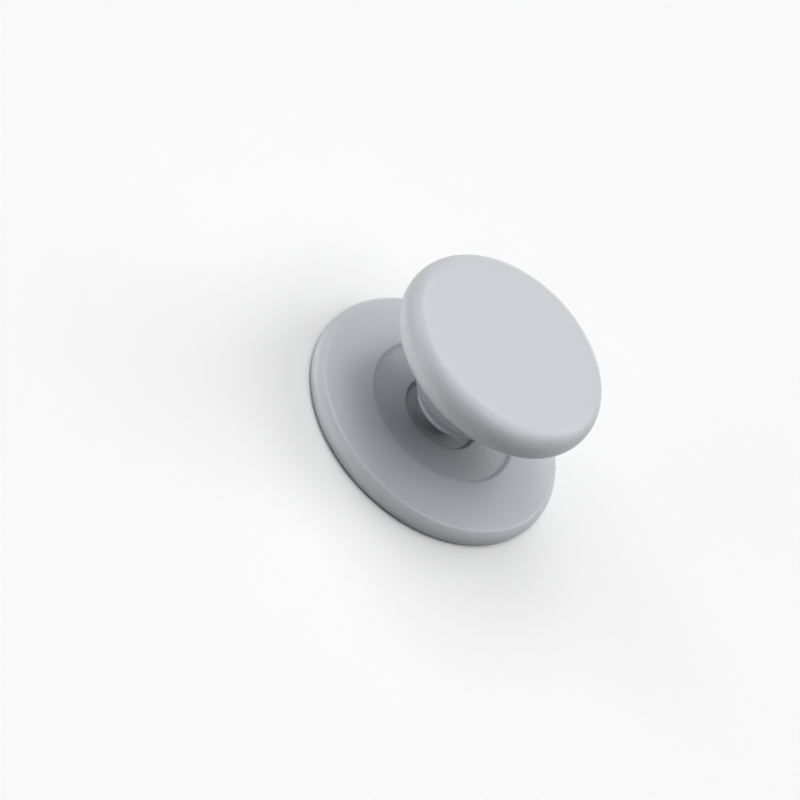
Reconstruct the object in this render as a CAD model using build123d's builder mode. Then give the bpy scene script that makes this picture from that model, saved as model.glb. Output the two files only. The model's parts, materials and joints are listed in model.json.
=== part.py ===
from build123d import *
import math
import os

# Collapsible phone grip, pulled out to its full height.
# Sizes are in millimetres. Z = 0 is the face that meets the phone, and the grip's axis is +Z.

# Magnet ring and the plate that carries it
magnet_ring_diameter = 54.0
magnet_width = 4.0
magnet_thickness = 1.4
magnet_count = 18
magnet_corner_round = 0.3
pocket_clearance = 0.1
pocket_rib = 0.6
pocket_wall = 0.7
pocket_drop = 0.1
back_plate_thickness = 0.5
back_plate_ledge = 0.5
plate_clearance = 0.1
clamp_ring_width = 1.6

# Soft pad and its adhesive film
pad_thickness = 0.5
pad_proud = 0.3
pad_edge_round = 0.15
pad_groove_inset = 2.2
pad_groove_width = 0.7
pad_groove_depth = 0.2
film_thickness = 0.1
film_inset = 0.4

# Steel yoke above the magnets
yoke_thickness = 0.4
yoke_overlap = 0.2

# Base housing
cavity_clearance = 0.3
skirt_wall = 1.1
skirt_foot_round = 0.35
side_inset = 1.3
side_bulge = 0.55
roof_thickness = 1.1
rim_round = 1.0
crown_rise = 0.8
crown_bulge = 0.08
recess_diameter = 33.8
recess_depth = 0.8
recess_slope = 0.7
recess_lip_round = 0.25
recess_root_round = 0.35
stem_hole_diameter = 17.0
stem_hole_round = 0.2

# Folding stem
neck_diameter = 9.4
neck_height = 3.2
cone_foot_diameter = 15.1
cone_foot_rise = 0.5
fold_line_rise = 2.9
fold_line_drop = 0.65
fold_line_count = 3
fold_line_width = 0.35
fold_line_depth = 0.35
stem_wall = 0.9
flange_width = 3.4
flange_thickness = 0.8
collar_height = 7.3
stem_lip_width = 1.6
stem_lip_thickness = 0.8

# Keyed core and bayonet plug
barrel_diameter = 11.2
core_plate_thickness = 0.7
core_lip_thickness = 1.0
core_wall = 0.9
core_chamber_extra = 0.5
plug_flange_thickness = 0.8
plug_play = 0.15
lug_reach = 1.35
lug_angle = 60.0
lug_thickness = 1.0
key_clearance = 0.15
key_angle_clearance = 4.0

# Top
grip_height = 29.9
top_diameter = 46.4
top_thickness = 7.6
top_edge_round = 4.2
top_under_round = 3.15
top_face_thickness = 1.7
cap_land = 1.25
cap_inner_round = 1.0
liner_clearance = 0.1
liner_wall = 1.9
liner_ceiling = 0.9
liner_inset = 0.2
liner_lip_round = 0.4
stem_clearance = 0.7

# Levels and radii that follow from them
film_z = pad_thickness
plate_z = film_z + film_thickness
plate_top_z = plate_z + back_plate_thickness
magnet_top_z = plate_top_z + magnet_thickness
yoke_top_z = magnet_top_z + yoke_thickness
rim_z = yoke_top_z + roof_thickness
crown_z = rim_z + crown_rise
floor_z = crown_z - recess_depth
flange_z = yoke_top_z - flange_thickness

magnet_outer_r = magnet_ring_diameter / 2
magnet_inner_r = magnet_outer_r - magnet_width
pocket_wall_r = magnet_inner_r - pocket_clearance
rib_inner_r = pocket_wall_r - pocket_wall / 2
cavity_r = magnet_outer_r + cavity_clearance
plate_r = cavity_r + back_plate_ledge
skirt_inner_r = plate_r + plate_clearance
base_r = skirt_inner_r + skirt_wall
rim_r = base_r - side_inset
recess_r = recess_diameter / 2
recess_floor_r = recess_r - recess_slope
yoke_inner_r = magnet_inner_r - yoke_overlap
yoke_outer_r = magnet_outer_r + yoke_overlap

neck_r = neck_diameter / 2
cone_foot_r = cone_foot_diameter / 2
neck_bore_r = neck_r - stem_wall
stem_hole_r = stem_hole_diameter / 2
flange_r = stem_hole_r + flange_width

top_r = top_diameter / 2
top_under_z = grip_height - top_thickness
cap_ceiling_z = grip_height - top_face_thickness
cap_cavity_r = top_r - top_under_round - cap_land
liner_r = cap_cavity_r - liner_clearance
well_r = liner_r - liner_wall
well_ceiling_z = cap_ceiling_z - liner_ceiling
liner_lip_z = top_under_z + liner_inset
stem_r = well_r - stem_clearance

plug_flange_z = well_ceiling_z - plug_flange_thickness
core_top_z = plug_flange_z - plug_play
core_lip_z = core_top_z - core_lip_thickness
lug_top_z = core_lip_z - plug_play
lug_z = lug_top_z - lug_thickness
core_z = lug_z - core_chamber_extra
stem_end_z = core_top_z - core_plate_thickness
stem_lip_z = stem_end_z - stem_lip_thickness
stem_lip_r = stem_r - stem_lip_width
stem_bore_r = stem_r - stem_wall
cone_top_z = stem_end_z - collar_height
neck_top_z = yoke_top_z + neck_height
cone_foot_z = neck_top_z + cone_foot_rise
cone_flare = (stem_r - cone_foot_r) / (cone_top_z - cone_foot_z)
first_fold_z = cone_foot_z + fold_line_rise
last_fold_z = cone_top_z - fold_line_drop
fold_line_pitch = (last_fold_z - first_fold_z) / (fold_line_count - 1)
barrel_r = barrel_diameter / 2
chamber_r = barrel_r - core_wall
lug_r = chamber_r - key_clearance
spigot_r = lug_r - lug_reach

os.makedirs("parts", exist_ok=True)

# Soft pad that meets the phone, with one ring groove inside the magnet ring
with BuildPart() as grip_pad:
    Cylinder(plate_r, pad_thickness, align=(Align.CENTER, Align.CENTER, Align.MIN))
    fillet(grip_pad.edges().group_by(Axis.Z)[0], pad_edge_round)
    with BuildSketch(Plane.XY) as pad_groove:
        Circle(magnet_inner_r - pad_groove_inset)
        Circle(magnet_inner_r - pad_groove_inset - pad_groove_width, mode=Mode.SUBTRACT)
    extrude(amount=pad_groove_depth, mode=Mode.SUBTRACT)
grip_pad.part.label = "grip_pad"
export_step(grip_pad.part, "parts/grip_pad.step")

# Adhesive film between the pad and the back plate
with BuildPart() as pad_film:
    with Locations((0, 0, film_z)):
        Cylinder(plate_r - film_inset, film_thickness, align=(Align.CENTER, Align.CENTER, Align.MIN))
pad_film.part.label = "pad_film"
export_step(pad_film.part, "parts/pad_film.step")

# Back plate: closes the base, with a pocket for each magnet and a ring that clamps the stem's foot flange
with BuildPart() as back_plate:
    with Locations((0, 0, plate_z)):
        Cylinder(plate_r, back_plate_thickness, align=(Align.CENTER, Align.CENTER, Align.MIN))
    with BuildSketch(Plane.XY.offset(plate_top_z)) as pocket_walls:
        Circle(pocket_wall_r)
        Circle(pocket_wall_r - pocket_wall, mode=Mode.SUBTRACT)
        with PolarLocations(rib_inner_r, magnet_count, start_angle=180 / magnet_count):
            Rectangle(magnet_outer_r - rib_inner_r, pocket_rib, align=(Align.MIN, Align.CENTER))
    extrude(amount=magnet_thickness - pocket_drop)
    with BuildSketch(Plane.XY.offset(plate_top_z)) as clamp_ring:
        Circle(flange_r)
        Circle(flange_r - clamp_ring_width, mode=Mode.SUBTRACT)
    extrude(amount=flange_z - plate_top_z)
back_plate.part.label = "back_plate"
export_step(back_plate.part, "parts/back_plate.step")

# Ring of arc magnets, one in each pocket
magnet_step = 360 / magnet_count
magnet_gap_angle = math.degrees((pocket_rib + 2 * pocket_clearance) / magnet_inner_r)
magnet_half_angle = (magnet_step - magnet_gap_angle) / 2
for index in range(magnet_count):
    facing = Plane.XY.offset(plate_top_z).rotated((0, 0, index * magnet_step))
    with BuildPart() as ring_magnet:
        with BuildSketch(facing) as magnet_section:
            with BuildLine() as magnet_outline:
                outer = CenterArc((0, 0), magnet_outer_r, -magnet_half_angle, 2 * magnet_half_angle)
                inner = CenterArc((0, 0), magnet_inner_r, -magnet_half_angle, 2 * magnet_half_angle)
                Line(inner @ 0, outer @ 0)
                Line(inner @ 1, outer @ 1)
            make_face()
            fillet(magnet_section.vertices(), magnet_corner_round)
        extrude(amount=magnet_thickness)
    ring_magnet.part.label = f"ring_magnet_{index + 1:02d}"
    export_step(ring_magnet.part, f"parts/ring_magnet_{index + 1:02d}.step")

# Steel yoke ring on top of the magnets
with BuildPart() as yoke_ring:
    with BuildSketch(Plane.XY.offset(magnet_top_z)) as yoke_section:
        Circle(yoke_outer_r)
        Circle(yoke_inner_r, mode=Mode.SUBTRACT)
    extrude(amount=yoke_thickness)
yoke_ring.part.label = "yoke_ring"
export_step(yoke_ring.part, "parts/yoke_ring.step")

# Base housing: bulged side, slightly crowned face, stepped recess and a centre hole for the stem
with BuildPart() as base_housing:
    with BuildSketch(Plane.XZ) as housing_section:
        with BuildLine() as housing_outline:
            side = SagittaArc((base_r, pad_proud), (rim_r, rim_z), -side_bulge)
            crown = SagittaArc(side @ 1, (recess_r, crown_z), -crown_bulge)
            Polyline(
                crown @ 1,
                (recess_floor_r, floor_z),
                (stem_hole_r, floor_z),
                (stem_hole_r, yoke_top_z),
                (cavity_r, yoke_top_z),
                (cavity_r, plate_top_z),
                (skirt_inner_r, plate_top_z),
                (skirt_inner_r, pad_proud),
                side @ 0,
            )
        make_face()
        corners = housing_section.vertices()
        fillet(corners.sort_by_distance((base_r, pad_proud))[0], skirt_foot_round)
        corners = housing_section.vertices()
        fillet(corners.sort_by_distance((rim_r, rim_z))[0], rim_round)
        corners = housing_section.vertices()
        fillet(corners.sort_by_distance((recess_r, crown_z))[0], recess_lip_round)
        corners = housing_section.vertices()
        fillet(corners.sort_by_distance((recess_floor_r, floor_z))[0], recess_root_round)
        corners = housing_section.vertices()
        fillet(corners.sort_by_distance((stem_hole_r, floor_z))[0], stem_hole_round)
    revolve(axis=Axis.Z)
base_housing.part.label = "base_housing"
export_step(base_housing.part, "parts/base_housing.step")

# Folding stem: clamped foot flange, neck, a flared cone with fold lines cut round it, and a straight collar
fold_lines = []
lip_step = fold_line_width / 2
for index in range(fold_line_count):
    fold_z = first_fold_z + index * fold_line_pitch
    fold_r = cone_foot_r + cone_flare * (fold_z - cone_foot_z)
    fold_lines.append((fold_r - cone_flare * lip_step, fold_z - lip_step))
    fold_lines.append((fold_r - fold_line_depth, fold_z))
    fold_lines.append((fold_r + cone_flare * lip_step, fold_z + lip_step))
inner_rise = stem_wall / 2
with BuildPart() as accordion_stem:
    with BuildSketch(Plane.XZ) as stem_section:
        with BuildLine() as stem_outline:
            Polyline(
                (neck_bore_r, flange_z),
                (flange_r, flange_z),
                (flange_r, yoke_top_z),
                (neck_r, yoke_top_z),
                (neck_r, neck_top_z),
                (cone_foot_r, cone_foot_z),
                *fold_lines,
                (stem_r, cone_top_z),
                (stem_r, stem_end_z),
                (stem_lip_r, stem_end_z),
                (stem_lip_r, stem_lip_z),
                (stem_bore_r, stem_lip_z),
                (stem_bore_r, cone_top_z + inner_rise),
                (cone_foot_r - stem_wall, cone_foot_z + inner_rise),
                (neck_bore_r, neck_top_z + inner_rise),
                close=True,
            )
        make_face()
    revolve(axis=Axis.Z)
accordion_stem.part.label = "accordion_stem"
export_step(accordion_stem.part, "parts/accordion_stem.step")

# Keyed core on the stem's end: a plate, and a barrel with two key slots over a chamber for the plug's lugs
with BuildPart() as stem_core:
    with BuildSketch(Plane.XY.offset(stem_end_z)) as core_plate:
        Circle(stem_r)
        Circle(chamber_r, mode=Mode.SUBTRACT)
    extrude(amount=core_plate_thickness)
    with BuildSketch(Plane.XY.offset(core_z)) as core_barrel:
        Circle(barrel_r)
        Circle(chamber_r, mode=Mode.SUBTRACT)
    extrude(amount=core_top_z - core_z)
    with BuildSketch(Plane.XY.offset(core_lip_z)) as core_lip:
        Circle(barrel_r)
        Circle(spigot_r + key_clearance, mode=Mode.SUBTRACT)
        for side_angle in (90, 270):
            with BuildLine() as key_outline:
                key_half = (lug_angle + key_angle_clearance) / 2
                key_arc = CenterArc((0, 0), chamber_r, side_angle - key_half, 2 * key_half)
                Line((0, 0), key_arc @ 0)
                Line((0, 0), key_arc @ 1)
            make_face(mode=Mode.SUBTRACT)
    extrude(amount=core_lip_thickness)
stem_core.part.label = "stem_core"
export_step(stem_core.part, "parts/stem_core.step")

# Bayonet plug under the liner's ceiling: a flange, a spigot and two lugs, locked across the key slots
with BuildPart() as bayonet_plug:
    with Locations((0, 0, plug_flange_z)):
        Cylinder(barrel_r, plug_flange_thickness, align=(Align.CENTER, Align.CENTER, Align.MIN))
    with Locations((0, 0, lug_z)):
        Cylinder(spigot_r, plug_flange_z - lug_z, align=(Align.CENTER, Align.CENTER, Align.MIN))
    with BuildSketch(Plane.XY.offset(lug_z)) as lug_section:
        for side_angle in (0, 180):
            with BuildLine() as lug_outline:
                lug_arc = CenterArc((0, 0), lug_r, side_angle - lug_angle / 2, lug_angle)
                Line((0, 0), lug_arc @ 0)
                Line((0, 0), lug_arc @ 1)
            make_face()
    extrude(amount=lug_thickness)
bayonet_plug.part.label = "bayonet_plug"
export_step(bayonet_plug.part, "parts/bayonet_plug.step")

# Liner of the top: a cup pressed into the cap's hollow, open below for the stem's upper end
with BuildPart() as top_liner:
    with BuildSketch(Plane.XZ) as liner_section:
        with BuildLine() as liner_outline:
            Polyline(
                (0, well_ceiling_z),
                (well_r, well_ceiling_z),
                (well_r, liner_lip_z),
                (liner_r, liner_lip_z),
                (liner_r, cap_ceiling_z),
                (0, cap_ceiling_z),
                close=True,
            )
        make_face()
        lips = liner_section.vertices().group_by(Axis.Y)[0]
        fillet(lips, liner_lip_round)
        corners = liner_section.vertices()
        fillet(corners.sort_by_distance((liner_r, cap_ceiling_z))[0], cap_inner_round)
    revolve(axis=Axis.Z)
top_liner.part.label = "top_liner"
export_step(top_liner.part, "parts/top_liner.step")

# Top cap: flat face, a wide rounding above and a smaller one below, hollow from below
with BuildPart() as top_cap:
    with BuildSketch(Plane.XZ) as cap_section:
        with BuildLine() as cap_outline:
            Polyline(
                (0, grip_height),
                (top_r, grip_height),
                (top_r, top_under_z),
                (cap_cavity_r, top_under_z),
                (cap_cavity_r, cap_ceiling_z),
                (0, cap_ceiling_z),
                close=True,
            )
        make_face()
        corners = cap_section.vertices()
        fillet(corners.sort_by_distance((top_r, grip_height))[0], top_edge_round)
        corners = cap_section.vertices()
        fillet(corners.sort_by_distance((top_r, top_under_z))[0], top_under_round)
        corners = cap_section.vertices()
        fillet(corners.sort_by_distance((cap_cavity_r, cap_ceiling_z))[0], cap_inner_round)
    revolve(axis=Axis.Z)
top_cap.part.label = "top_cap"
export_step(top_cap.part, "parts/top_cap.step")
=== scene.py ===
import json
import math

import bmesh
import bpy
from mathutils import Matrix, Vector


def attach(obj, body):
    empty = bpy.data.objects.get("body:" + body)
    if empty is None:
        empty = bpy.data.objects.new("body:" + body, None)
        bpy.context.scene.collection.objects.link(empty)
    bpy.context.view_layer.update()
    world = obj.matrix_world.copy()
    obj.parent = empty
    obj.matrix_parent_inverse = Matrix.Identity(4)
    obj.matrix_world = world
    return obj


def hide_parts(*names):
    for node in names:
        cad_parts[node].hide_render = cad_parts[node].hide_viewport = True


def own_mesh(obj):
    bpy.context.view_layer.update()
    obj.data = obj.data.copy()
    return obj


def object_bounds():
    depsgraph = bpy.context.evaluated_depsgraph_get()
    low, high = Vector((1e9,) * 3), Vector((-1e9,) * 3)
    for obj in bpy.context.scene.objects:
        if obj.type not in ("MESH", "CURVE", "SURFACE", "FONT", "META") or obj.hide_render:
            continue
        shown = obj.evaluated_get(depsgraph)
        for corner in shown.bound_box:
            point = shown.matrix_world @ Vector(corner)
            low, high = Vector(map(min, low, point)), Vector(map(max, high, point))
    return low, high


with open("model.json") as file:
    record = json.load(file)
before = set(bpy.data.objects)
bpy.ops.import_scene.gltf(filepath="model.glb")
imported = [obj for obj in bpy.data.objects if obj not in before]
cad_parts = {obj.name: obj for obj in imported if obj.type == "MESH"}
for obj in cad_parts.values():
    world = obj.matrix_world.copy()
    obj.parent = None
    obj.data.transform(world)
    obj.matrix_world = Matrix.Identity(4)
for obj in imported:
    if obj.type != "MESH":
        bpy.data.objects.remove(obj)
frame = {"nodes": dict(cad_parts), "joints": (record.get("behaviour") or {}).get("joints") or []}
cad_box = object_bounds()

# Grip pad: the soft disc on the base's back that keeps the grip from sliding on what it is put on.
# Grey silicone with a fine matt skin, moulded with one ring groove and stuck on with a film.
mm = 0.001


class Signal:
    """A socket in a material's nodes. Operators on it add Math nodes."""

    def __init__(self, tree, socket=None):
        self.tree = tree
        self.socket = socket

    def node(self, kind, settings, sockets, out=0):
        """Add one node: its settings first, then the values or links of its sockets."""
        made = self.tree.nodes.new("ShaderNode" + kind)
        for setting, value in settings.items():
            setattr(made, setting, value)
        for socket, value in sockets.items():
            if isinstance(value, Signal):
                self.tree.links.new(value.socket, made.inputs[socket])
            else:
                made.inputs[socket].default_value = value
        return Signal(self.tree, made.outputs[out])

    def combine(self, operation, first, second):
        return self.node("Math", {"operation": operation}, {0: first, 1: second})

    def __add__(self, other):
        return self.combine("ADD", self, other)

    def __radd__(self, other):
        return self.combine("ADD", other, self)

    def __sub__(self, other):
        return self.combine("SUBTRACT", self, other)

    def __rsub__(self, other):
        return self.combine("SUBTRACT", other, self)

    def __mul__(self, other):
        return self.combine("MULTIPLY", self, other)

    def __rmul__(self, other):
        return self.combine("MULTIPLY", other, self)

    def noise(self, size, detail):
        """Noise with marks of about the given size in metres."""
        return self.node("TexNoise", {}, {"Vector": self, "Scale": 1 / size, "Detail": detail})

    def tint(self, low, high):
        """A colour between two colours, which a Mix node takes at 6 and 7 and gives at 2."""
        ends = {"Factor": self, 6: (*low, 1), 7: (*high, 1)}
        return self.node("Mix", {"data_type": "RGBA"}, ends, out=2)

    def bump(self, depth):
        """Surface relief of the given depth in metres."""
        return self.node("Bump", {}, {"Height": self, "Distance": depth})

    def into(self, shader, socket):
        self.tree.links.new(self.socket, shader.inputs[socket])


def new_finish(name, metallic=0.0):
    """A material, its shader, and the place on the piece that its marks follow."""
    material = bpy.data.materials.new(name)
    material.use_nodes = True
    shader = material.node_tree.nodes["Principled BSDF"]
    shader.inputs["Metallic"].default_value = metallic
    place = Signal(material.node_tree).node("TexCoord", {}, {}, out="Object")
    return material, shader, place


def shade(colour, by):
    """The colour made lighter or darker by a share."""
    return tuple(channel * (1 + by) for channel in colour)


def moulded(name, colour, mottle, roughness, grain_size, grain_depth):
    """A moulded surface: faint mottle in the colour, uneven gloss and a fine tool grain."""
    cloud_size, patch_size, gloss_spread = 12 * mm, 3 * mm, 0.12
    material, shader, place = new_finish(name)
    cloud = place.noise(cloud_size, detail=3)
    cloud.tint(shade(colour, -mottle), shade(colour, mottle)).into(shader, "Base Color")
    patch = place.noise(patch_size, detail=2)
    (roughness + gloss_spread * (patch - 0.5)).into(shader, "Roughness")
    place.noise(grain_size, detail=3).bump(grain_depth).into(shader, "Normal")
    return material


def dress(node, material):
    """Give a carried-over CAD node its finish."""
    slots = frame["nodes"][node].data.materials
    slots.clear()
    slots.append(material)


pad_silicone = moulded(
    "pad_silicone",
    colour=(0.44, 0.455, 0.48),
    mottle=0.02,
    roughness=0.68,
    grain_size=0.2 * mm,
    grain_depth=0.02 * mm,
)
dress("grip_pad", pad_silicone)

# Pad film: the double-sided adhesive disc between the pad and the back plate.
# Pale acrylic adhesive on a thin carrier, punched from a sheet.
film_adhesive = moulded(
    "film_adhesive",
    colour=(0.75, 0.74, 0.68),
    mottle=0.03,
    roughness=0.5,
    grain_size=0.4 * mm,
    grain_depth=0.01 * mm,
)
dress("pad_film", film_adhesive)

# Back plate: closes the base from below and holds each magnet in a pocket.
# Dark grey moulded plastic, welded to the housing.
inner_plastic = moulded(
    "inner_plastic",
    colour=(0.3, 0.31, 0.33),
    mottle=0.03,
    roughness=0.55,
    grain_size=0.3 * mm,
    grain_depth=0.01 * mm,
)
dress("back_plate", inner_plastic)

# Ring magnets: the arc segments that hold the grip by its back.
# Sintered magnets with bright nickel plating, pressed into the plate's pockets.
nickel_dull, nickel_bright = (0.62, 0.6, 0.55), (0.7, 0.68, 0.64)
nickel_polish, nickel_haze = 0.18, 0.16
plating_cloud_size, plating_speck_size = 2 * mm, 0.6 * mm

magnet_nickel, nickel_shader, nickel_place = new_finish("magnet_nickel", metallic=1.0)
plating_clouds = nickel_place.noise(plating_cloud_size, detail=3)
plating_clouds.tint(nickel_dull, nickel_bright).into(nickel_shader, "Base Color")
plating_specks = nickel_place.noise(plating_speck_size, detail=4)
(nickel_polish + nickel_haze * plating_specks).into(nickel_shader, "Roughness")
for node in frame["nodes"]:
    if node.startswith("ring_magnet"):
        dress(node, magnet_nickel)

# Yoke ring: the flat ring over the magnets that turns their field out through the pad.
# Thin cold-rolled steel, punched, with rolling lines across it.
steel_dark, steel_bright = (0.48, 0.48, 0.49), (0.6, 0.6, 0.61)
steel_polish, steel_haze = 0.28, 0.18
line_length, line_depth = 6 * mm, 0.004 * mm
line_squeeze = (1, 30, 30)

yoke_steel, steel_shader, steel_place = new_finish("yoke_steel", metallic=1.0)
line_place = steel_place.node("Mapping", {}, {"Vector": steel_place, "Scale": line_squeeze})
rolling_lines = line_place.noise(line_length, detail=4)
rolling_lines.tint(steel_dark, steel_bright).into(steel_shader, "Base Color")
(steel_polish + steel_haze * rolling_lines).into(steel_shader, "Roughness")
rolling_lines.bump(line_depth).into(steel_shader, "Normal")
dress("yoke_ring", yoke_steel)

# Folding stem: the funnel that lets the top be pulled out and pressed flat, clamped by its flange.
# One moulding of soft elastomer, with a neck, fold lines round its cone and a collar.
# The band at the cone's foot carries a painted highlight, the stem above it a fainter painted
# light, and the fold lines painted shade.
turn_steps = 240
bend_step = math.radians(7)
sharp_from = math.radians(32)
hold = 0.12


def rounded(corners):
    """Points along a closed outline of corners, each a radius, a height and a rounding.

    A hold, a point a little way off, keeps the shading of each rounding to itself.
    """
    points = []
    for index, (r, z, rounding) in enumerate(corners):
        here = Vector((r, z))
        if rounding == 0:
            points.append(here)
            continue
        before = Vector(corners[index - 1][:2]) - here
        after = Vector(corners[(index + 1) % len(corners)][:2]) - here
        before_way, after_way = before.normalized(), after.normalized()
        opening = before_way.angle(after_way)
        reach = rounding / math.tan(opening / 2)
        middle_way = (before_way + after_way).normalized()
        centre = here + middle_way * rounding / math.sin(opening / 2)
        first = here + before_way * reach - centre
        sweep = math.copysign(math.pi - opening, before_way.cross(first))
        steps = max(2, math.ceil(abs(sweep) / bend_step))
        if reach + hold < before.length / 2:
            points.append(here + before_way * (reach + hold))
        for step in range(steps + 1):
            points.append(centre + Matrix.Rotation(sweep * step / steps, 2) @ first)
        if reach + hold < after.length / 2:
            points.append(here + after_way * (reach + hold))
    return points


def in_scene(name, data):
    """An object of the given mesh, lamp or camera, put in the scene."""
    made = bpy.data.objects.new(name, data)
    bpy.context.scene.collection.objects.link(made)
    return made


def turned(name, corners):
    """A solid of revolution about the grip's axis, from its outline in millimetres."""
    shape = bmesh.new()
    rings = []
    for r, z in rounded(corners):
        count = turn_steps if r > 0 else 1
        angles = [2 * math.pi * step / turn_steps for step in range(count)]
        places = [(r * math.cos(angle) * mm, r * math.sin(angle) * mm, z * mm) for angle in angles]
        rings.append([shape.verts.new(place) for place in places])
    for ring, following in zip(rings, rings[1:] + rings[:1]):
        if len(ring) == 1 and len(following) == 1:
            continue
        for step in range(turn_steps):
            after = (step + 1) % turn_steps
            face = [ring[step % len(ring)]]
            if len(ring) > 1:
                face.append(ring[after])
            if len(following) > 1:
                face.append(following[after])
            face.append(following[step % len(following)])
            shape.faces.new(face)
    bmesh.ops.recalc_face_normals(shape, faces=shape.faces)
    mesh = bpy.data.meshes.new(name)
    shape.to_mesh(mesh)
    shape.free()
    mesh.shade_smooth()
    mesh.set_sharp_from_angle(angle=sharp_from)
    return in_scene(name, mesh)


def fit(piece, material, body, node):
    """Give a turned piece its finish, and put it in its CAD node's place."""
    piece.data.materials.append(material)
    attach(piece, body)
    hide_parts(node)


def paint_light_and_shade(piece, material, light_and_shade_at):
    """Paint light and shade on a turned piece: scale its colour by the tone at a radius and a
    height in millimetres.
    """
    tones = piece.data.attributes.new("tone", "FLOAT", "POINT")
    for vertex, tone in zip(piece.data.vertices, tones.data):
        tone.value = light_and_shade_at(vertex.co.xy.length / mm, vertex.co.z / mm)
    shader = material.node_tree.nodes["Principled BSDF"]
    skin = Signal(material.node_tree, shader.inputs["Base Color"].links[0].from_socket)
    share = skin.node("Attribute", {"attribute_name": "tone"}, {}, out="Fac")
    scaled = skin.node("VectorMath", {"operation": "SCALE"}, {0: skin, "Scale": share})
    scaled.into(shader, "Base Color")


stem_elastomer = moulded(
    "stem_elastomer",
    colour=(0.42, 0.432, 0.455),
    mottle=0.03,
    roughness=0.58,
    grain_size=0.15 * mm,
    grain_depth=0.012 * mm,
)
# Painted light and shade on the stem: colour scales for the band's highlight, the shade in the fold
# lines, and the lighter stem above.
painted_band_highlight, painted_fold_shade, painted_upper_light = 1.9, 0.1, 1.1

flange_r, flange_low, flange_high = 11.9, 2.1, 2.9
neck_r, neck_bore_r, neck_top = 4.7, 3.8, 6.1
cone_foot_r, cone_foot = 7.55, 6.6
cone_top_r, cone_top = 16.1, 18.35
band_top, band_flare = cone_foot + 1.05, 0.1
groove_r, groove = cone_foot_r - 0.15, band_top + 0.15
cone_edge_r, cone_edge = cone_foot_r + 0.35, band_top + 0.35
first_fold = 9.5
fold_heights = (11.5, 13.6, 15.6, 17.7)
fold_half_width, fold_depth = 0.35, 0.5
stem_end, stem_wall = 25.65, 0.9
collar_bead, collar_bead_height = 1.6, 0.8
half_wall = stem_wall / 2
flare = (cone_top_r - cone_foot_r) / (cone_top - cone_foot)


def cone_r(z):
    """The cone's radius at a height."""
    return cone_foot_r + flare * (z - cone_foot)


stem_corners = [
    (neck_bore_r, flange_low, 0),
    (flange_r, flange_low, 0.1),
    (flange_r, flange_high, 0.1),
    (neck_r, flange_high, 0.4),
    (neck_r, neck_top, 0.35),
    (cone_foot_r, cone_foot, 0.15),
    (cone_foot_r + band_flare, band_top, 0.1),
    (groove_r, groove, 0.08),
    (cone_edge_r, cone_edge, 0.15),
    (cone_r(first_fold), first_fold, 0.15),
]
for fold in fold_heights:
    fold_low, fold_high = fold - fold_half_width, fold + fold_half_width
    stem_corners.append((cone_r(fold_low), fold_low, 0.1))
    stem_corners.append((cone_r(fold) - fold_depth, fold, 0.05))
    stem_corners.append((cone_r(fold_high), fold_high, 0.1))
stem_corners += [
    (cone_top_r, cone_top, 0.4),
    (cone_top_r, stem_end, 0.1),
    (cone_top_r - collar_bead, stem_end, 0.1),
    (cone_top_r - collar_bead, stem_end - collar_bead_height, 0.1),
    (cone_top_r - stem_wall, stem_end - collar_bead_height, 0),
    (cone_top_r - stem_wall, cone_top + half_wall, 0.5),
    (cone_foot_r - stem_wall, cone_foot + half_wall, 0.3),
    (neck_bore_r, neck_top + half_wall, 0.3),
]

valleys = [(cone_r(fold) - fold_depth, fold) for fold in fold_heights] + [(groove_r, groove)]
valley_reach = 0.15
band_in, band_over = 0.1, 0.05
ridge_over = 0.3


def stem_painted_light(r, z):
    """Painted highlight on the band and fainter painted light on the ridges between the fold lines,
    with painted shade in the fold lines.
    """
    if r > cone_foot_r - band_in and cone_foot < z < band_top + band_over:
        return painted_band_highlight
    if any(math.hypot(r - valley_r, z - valley) < valley_reach for valley_r, valley in valleys):
        return painted_fold_shade
    return painted_upper_light if z > band_top + ridge_over else 1.0


stem = turned("folding_stem", stem_corners)
paint_light_and_shade(stem, stem_elastomer, stem_painted_light)
fit(stem, stem_elastomer, "base", "accordion_stem")
collapse = next(joint for joint in frame["joints"] if joint["name"] == "stem_collapse")
stem_foot = flange_high * mm
stem_travel = max(abs(limit) for limit in collapse["range_m"])
stem_keep = 1 - stem_travel / (stem_end * mm - stem_foot)
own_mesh(stem)

# Base housing: the wide low shell with a bulged side, a stepped recess and a hole for the neck.
# Light grey plastic, moulded in one with a satin tool finish, and welded to the back plate.
# The recess floor carries painted shade: it is coloured darker than the rest.
shell_finish = {
    "colour": (0.58, 0.6, 0.635),
    "mottle": 0.012,
    "roughness": 0.34,
    "grain_size": 0.18 * mm,
    "grain_depth": 0.003 * mm,
}
bore_r, bore_ledge = 27.9, 1.1
foot_r, foot = 28.95, 0.3
bulge_r, bulge = 29.28, 2.52
rim_r, rim = 27.7, 4.0
crown_r, crown = 22.36, 4.56
step_r, step_top = 16.9, 4.8
recess_r, recess_floor = 16.2, 4.0
hole_r = 8.5
cavity_r, cavity_roof = 27.3, 2.9
# Inside this radius the colour is scaled down, for painted shade in the recess.
painted_shade_r, painted_shade_tone = 16.4, 0.85

housing_corners = [
    (bore_r, foot, 0.1),
    (foot_r, foot, 0.35),
    (bulge_r, bulge, 3.0),
    (rim_r, rim, 1.0),
    (crown_r, crown, 80.0),
    (step_r, step_top, 0.6),
    (recess_r, recess_floor, 0.9),
    (hole_r, recess_floor, 0.4),
    (hole_r, cavity_roof, 0),
    (cavity_r, cavity_roof, 0),
    (cavity_r, bore_ledge, 0),
    (bore_r, bore_ledge, 0),
]
housing_plastic = moulded("housing_plastic", **shell_finish)
housing = turned("base_shell", housing_corners)
paint_light_and_shade(housing, housing_plastic, lambda r, z: painted_shade_tone if r < painted_shade_r else 1.0)
fit(housing, housing_plastic, "base", "base_housing")

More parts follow.
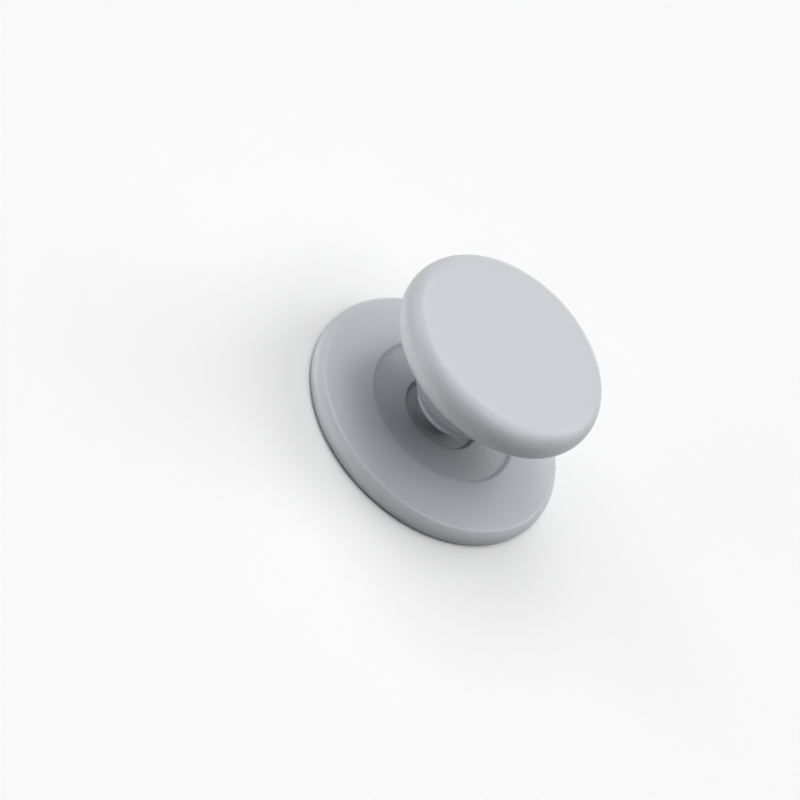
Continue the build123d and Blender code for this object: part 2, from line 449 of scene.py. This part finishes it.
# Stem core and bayonet plug: the keyed plate on the stem's end, and the plug that locks into it.
# Natural acetal, moulded. The core sits on the collar's end, and the plug under the liner.
natural_acetal = moulded(
    "natural_acetal",
    colour=(0.72, 0.72, 0.7),
    mottle=0.015,
    roughness=0.4,
    grain_size=0.4 * mm,
    grain_depth=0.006 * mm,
)
dress("stem_core", natural_acetal)
dress("bayonet_plug", natural_acetal)

# Top liner: the cup in the top's hollow that takes the stem's upper end.
# The same grey plastic as the housing, moulded and pressed into the cap.
shell_plastic = moulded("shell_plastic", **shell_finish)
dress("top_liner", shell_plastic)

# Top cap: the thick round top that the fingers hold, with a flat face and soft edges.
# Light grey plastic like the housing, moulded hollow and closed by the liner.
cap_r, cap_low, cap_high = 23.2, 22.3, 29.9
hollow_r, hollow_roof = 18.8, 28.2

cap_corners = [
    (hollow_r, cap_low, 0.1),
    (cap_r, cap_low, 3.15),
    (cap_r, cap_high, 4.2),
    (0, cap_high, 0),
    (0, hollow_roof, 0),
    (hollow_r, hollow_roof, 1.0),
]
cap = turned("top_shell", cap_corners)
fit(cap, shell_plastic, "grip_top", "top_cap")

# Studio: a plain floor under a pale surround, with soft lamps all round.
# Flat panels on the floor stand for the light that it throws up at the grip.
floor_half = 3.0
floor_drop = 0.02 * mm
floor_lit, floor_seen = (0.25, 0.25, 0.25), (1.0, 1.0, 1.0)

floor_height = cad_box[0][2] - floor_drop
floor_ways = [(-1, -1), (1, -1), (1, 1), (-1, 1)]
floor_corners = [(x * floor_half, y * floor_half, floor_height) for x, y in floor_ways]
floor_mesh = bpy.data.meshes.new("floor")
floor_mesh.from_pydata(floor_corners, [], [(0, 1, 2, 3)])
floor = in_scene("floor", floor_mesh)


def looked_at(tree):
    """1 where the camera, a reflection or a clear piece looks, and 0 for light on the grip."""
    start = Signal(tree)
    camera_ray = start.node("LightPath", {}, {}, out="Is Camera Ray")
    glossy_ray = start.node("LightPath", {}, {}, out="Is Glossy Ray")
    clear_ray = start.node("LightPath", {}, {}, out="Is Transmission Ray")
    return start.combine("MAXIMUM", start.combine("MAXIMUM", camera_ray, glossy_ray), clear_ray)


floor_paper = bpy.data.materials.new("floor_paper")
floor_paper.use_nodes = True
paper_tree = floor_paper.node_tree
paper_tree.nodes.clear()
paper_colour = looked_at(paper_tree).tint(floor_lit, floor_seen)
paper_face = paper_colour.node("BsdfDiffuse", {}, {"Color": paper_colour})
paper_face.into(paper_tree.nodes.new("ShaderNodeOutputMaterial"), "Surface")
floor_mesh.materials.append(floor_paper)

studio = bpy.data.worlds.new("studio")
studio.use_nodes = True
studio_tree = studio.node_tree
studio_tree.nodes.clear()
studio_seen = looked_at(studio_tree)
surround = {"Color": (1, 1, 1, 1), "Strength": studio_seen}
studio_air = studio_seen.node("Background", {}, surround)
studio_air.into(studio_tree.nodes.new("ShaderNodeOutputWorld"), "Surface")
bpy.context.scene.world = studio


def towards(azimuth, elevation=0):
    """The way from the grip to an azimuth, 0 in front and 90 at the right, and an elevation."""
    round_angle, up_angle = math.radians(azimuth), math.radians(elevation)
    level_way = Vector((math.sin(round_angle), -math.cos(round_angle), 0))
    return level_way * math.cos(up_angle) + Vector((0, 0, math.sin(up_angle)))


# Each lamp's azimuth, elevation and spread in degrees, and its level.
lamps = {
    "overhead": (0, 75, 30, 0.072),
    "right_high": (90, 60, 45, 0.262),
    "left_high": (270, 60, 45, 0.082),
    "left_middle": (270, 28, 36, 0.125),
    "front_left_low": (315, 5, 28, 0.17),
    "back_left": (225, 45, 30, 0.194),
    "back_right": (135, 45, 30, 0.066),
    "back_right_low": (135, 28, 36, 0.179),
    "back_bank_right": (150, 53, 18, 0.064),
    "back_bank_middle": (180, 53, 18, 0.08),
    "back_bank_left": (215, 69, 18, 0.13),
}
for name, (azimuth, elevation, spread, level) in lamps.items():
    lamp = bpy.data.lights.new(name, "SUN")
    lamp.energy = level * math.pi
    lamp.angle = math.radians(spread)
    lamp_way = towards(azimuth, elevation)
    in_scene(name, lamp).rotation_euler = lamp_way.to_track_quat("Z", "Y").to_euler()

# Each panel's azimuth, its distance, width and depth in millimetres, its level, and whether it
# lights the whole surface or the gloss alone.
glow_height = 0.2
glows = {
    "front_left_glow": (315, 100, 120, 60, 2.68, True),
    "edge_glow_left": (300, 35, 30, 10, 0.85, True),
    "edge_glow_middle": (328, 35, 30, 10, 0.65, True),
    "edge_glow_front": (0, 35, 30, 10, 0.4, True),
    "edge_glow_right": (30, 35, 30, 10, 0.2, True),
    "left_sheen": (306, 56, 90, 44, 1.4, False),
}
for name, (azimuth, distance, width, depth, level, lights_all) in glows.items():
    glow = bpy.data.lights.new(name, "AREA")
    glow.shape = "RECTANGLE"
    glow.size = width * mm
    glow.size_y = depth * mm
    glow.energy = level * math.pi * glow.size * glow.size_y
    panel = in_scene(name, glow)
    panel.location = (towards(azimuth) * distance + Vector((0, 0, glow_height))) * mm
    panel.rotation_euler = (math.pi, 0, math.radians(azimuth))
    panel.visible_camera = False
    panel.visible_diffuse = lights_all

# Camera: the photograph's view, with the grip's axis leaning to the right.
# It is aimed so that the middle of the base's back comes to its own pixel.
camera_distance = 0.60356
camera_elevation = 41.29
camera_lean = 45.97
picture_size = 800
sensor_width = 36.0
focal_pixels = 2964.3
base_pixel = (431.5, 423.2)

camera_data = bpy.data.cameras.new("camera")
camera_data.sensor_width = sensor_width
camera_data.lens = focal_pixels / picture_size * sensor_width
camera_data.clip_start = 0.01
camera = in_scene("camera", camera_data)
camera.location = towards(0, camera_elevation) * camera_distance
tilt = Matrix.Rotation(math.radians(90 - camera_elevation), 4, "X")
lean = Matrix.Rotation(math.radians(camera_lean), 4, "Z")
from_left, from_top = (pixel - picture_size / 2 for pixel in base_pixel)
base_ray = Vector((from_left / focal_pixels, -from_top / focal_pixels, -1))
aim = base_ray.rotation_difference(Vector((0, 0, -1)))
camera.rotation_euler = (tilt @ lean @ aim.to_matrix().to_4x4()).to_euler()
bpy.context.scene.camera = camera

bpy.context.scene.view_settings.view_transform = "Standard"
